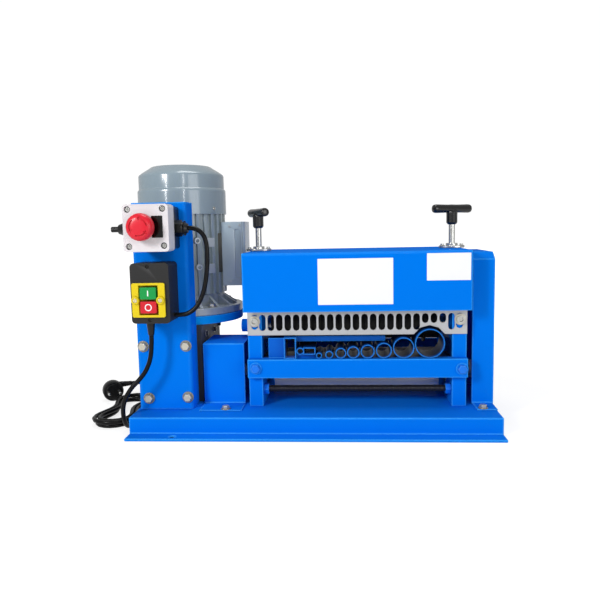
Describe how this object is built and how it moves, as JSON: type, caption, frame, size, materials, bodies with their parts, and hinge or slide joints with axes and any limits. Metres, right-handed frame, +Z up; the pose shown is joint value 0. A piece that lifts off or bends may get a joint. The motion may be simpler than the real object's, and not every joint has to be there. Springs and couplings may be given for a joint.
{
  "type": "wire stripping machine",
  "caption": "Bench wire stripping machine with a covered blade head, a motor on a worm gearbox, and a stop button and switch on a column.",
  "frame": {"origin": "centre of the machine's outline on the plane its base stands on, measured without the mains lead and its plug", "axes": "+X to the operator's right along the rollers, +Y away from the operator in the direction of feed, +Z up"},
  "size_m": [0.6807, 0.3522, 0.419],
  "materials": {
    "azure_paint": "gloss",
    "motor_grey_paint": "gloss",
    "gearbox_cast": "matt",
    "satin_plate": "satin",
    "bright_steel": "polished",
    "dark_steel": "oiled",
    "bronze": "machined",
    "black_plastic": "satin",
    "white_plastic": "satin",
    "red_plastic": "satin",
    "yellow_plastic": "satin",
    "green_plastic": "satin",
    "black_sheath": "matt"
  },
  "bodies": {
    "machine_frame": {"base_tray": "azure_paint", "side_plate_left": "azure_paint", "side_plate_right": "azure_paint", "tie_rod": "dark_steel", "front_beam": "azure_paint", "rear_beam": "azure_paint", "feed_guide_frame": "azure_paint", "feed_tubes_oval_and_flat": "azure_paint", "feed_tube_round_1": "azure_paint", "feed_tube_round_2": "azure_paint", "feed_tube_round_3": "azure_paint", "feed_tube_round_4": "azure_paint", "feed_tube_round_5": "azure_paint", "feed_tube_round_6": "azure_paint", "feed_tube_round_7": "azure_paint", "feed_tube_round_8": "azure_paint", "window_plate": "satin_plate", "roller_bearing_left": "bright_steel", "roller_bearing_right": "bright_steel", "screw_bush_left": "bright_steel", "screw_bush_right": "bright_steel", "top_cover": "azure_paint", "end_cover": "azure_paint", "coupling_cover": "azure_paint", "gearbox_housing": "gearbox_cast", "adapter_flange": "azure_paint", "motor_flange": "motor_grey_paint", "motor_frame": "motor_grey_paint", "fan_cowl": "motor_grey_paint", "terminal_box": "motor_grey_paint", "column": "azure_paint", "stop_station_base": "black_plastic", "stop_station_lid": "white_plastic", "switch_box": "black_plastic", "switch_bezel": "yellow_plastic", "mains_gland": "black_sheath", "link_lead": "black_sheath", "mains_cord": "black_sheath", "cord_hank": "black_sheath", "plug_cord": "black_sheath", "mains_plug": "black_sheath"},
    "drive_line": {"drive_roller": "dark_steel", "coupling_half_roller": "bright_steel", "coupling_half_gearbox": "bright_steel", "worm_wheel": "bronze"},
    "motor_rotor_line": {"motor_rotor": "dark_steel", "worm": "dark_steel", "motor_fan": "black_plastic"},
    "carriage": {"bearing_block_left": "azure_paint", "bearing_block_right": "azure_paint"},
    "blade_rotor": {"blade_shaft": "bright_steel", "blade_stack": "dark_steel"},
    "left_screw": {"adjusting_screw_left": "bright_steel", "screw_handle_left": "black_plastic"},
    "right_screw": {"adjusting_screw_right": "bright_steel", "screw_handle_right": "black_plastic"},
    "stop_plunger_body": {"stop_plunger": "black_plastic"},
    "stop_cap_body": {"stop_cap": "red_plastic"},
    "start_button_body": {"start_button": "green_plastic"},
    "stop_button_body": {"stop_button": "red_plastic"}
  },
  "joints": [
    {"name": "drive_spin", "type": "hinge", "parent": "machine_frame", "child": "drive_line", "pos_m": [0.0798, 0.00915, 0.071], "axis": [1, 0, 0], "continuous": true},
    {"name": "motor_spin", "type": "hinge", "parent": "machine_frame", "child": "motor_rotor_line", "pos_m": [-0.2187, 0.05915, 0.25], "axis": [0, 0, 1], "continuous": true},
    {"name": "blade_height", "type": "slide", "parent": "machine_frame", "child": "carriage", "axis": [0, 0, 1], "range_m": [-0.008, 0.018]},
    {"name": "left_screw_turn", "type": "hinge", "parent": "carriage", "child": "left_screw", "pos_m": [-0.0792, 0.00915, 0.3], "axis": [0, 0, 1], "range_deg": [-1925, 4325]},
    {"name": "right_screw_turn", "type": "hinge", "parent": "carriage", "child": "right_screw", "pos_m": [0.2388, 0.00915, 0.3], "axis": [0, 0, 1], "range_deg": [-1925, 4325]},
    {"name": "blade_spin", "type": "hinge", "parent": "carriage", "child": "blade_rotor", "pos_m": [0.0798, 0.00915, 0.148], "axis": [1, 0, 0], "continuous": true},
    {"name": "stop_press", "type": "slide", "parent": "machine_frame", "child": "stop_plunger_body", "axis": [0, 1, 0], "range_m": [0, 0.004], "stiffness_N_per_m": 2500},
    {"name": "stop_release_turn", "type": "hinge", "parent": "stop_plunger_body", "child": "stop_cap_body", "pos_m": [-0.22307, -0.16885, 0.31536], "axis": [0, 1, 0], "range_deg": [0, 30], "stiffness_Nm_per_rad": 0.2},
    {"name": "start_press", "type": "slide", "parent": "machine_frame", "child": "start_button_body", "axis": [0, 1, 0], "range_m": [0, 0.003], "stiffness_N_per_m": 1200},
    {"name": "stop_button_press", "type": "slide", "parent": "machine_frame", "child": "stop_button_body", "axis": [0, 1, 0], "range_m": [0, 0.003], "stiffness_N_per_m": 1200}
  ],
  "couplings": [
    {"joint": "motor_spin", "follows": "drive_spin", "ratio": -20},
    {"joint": "left_screw_turn", "follows": "blade_height", "rad_per_m": 4188.8},
    {"joint": "right_screw_turn", "follows": "blade_height", "rad_per_m": 4188.8}
  ]
}
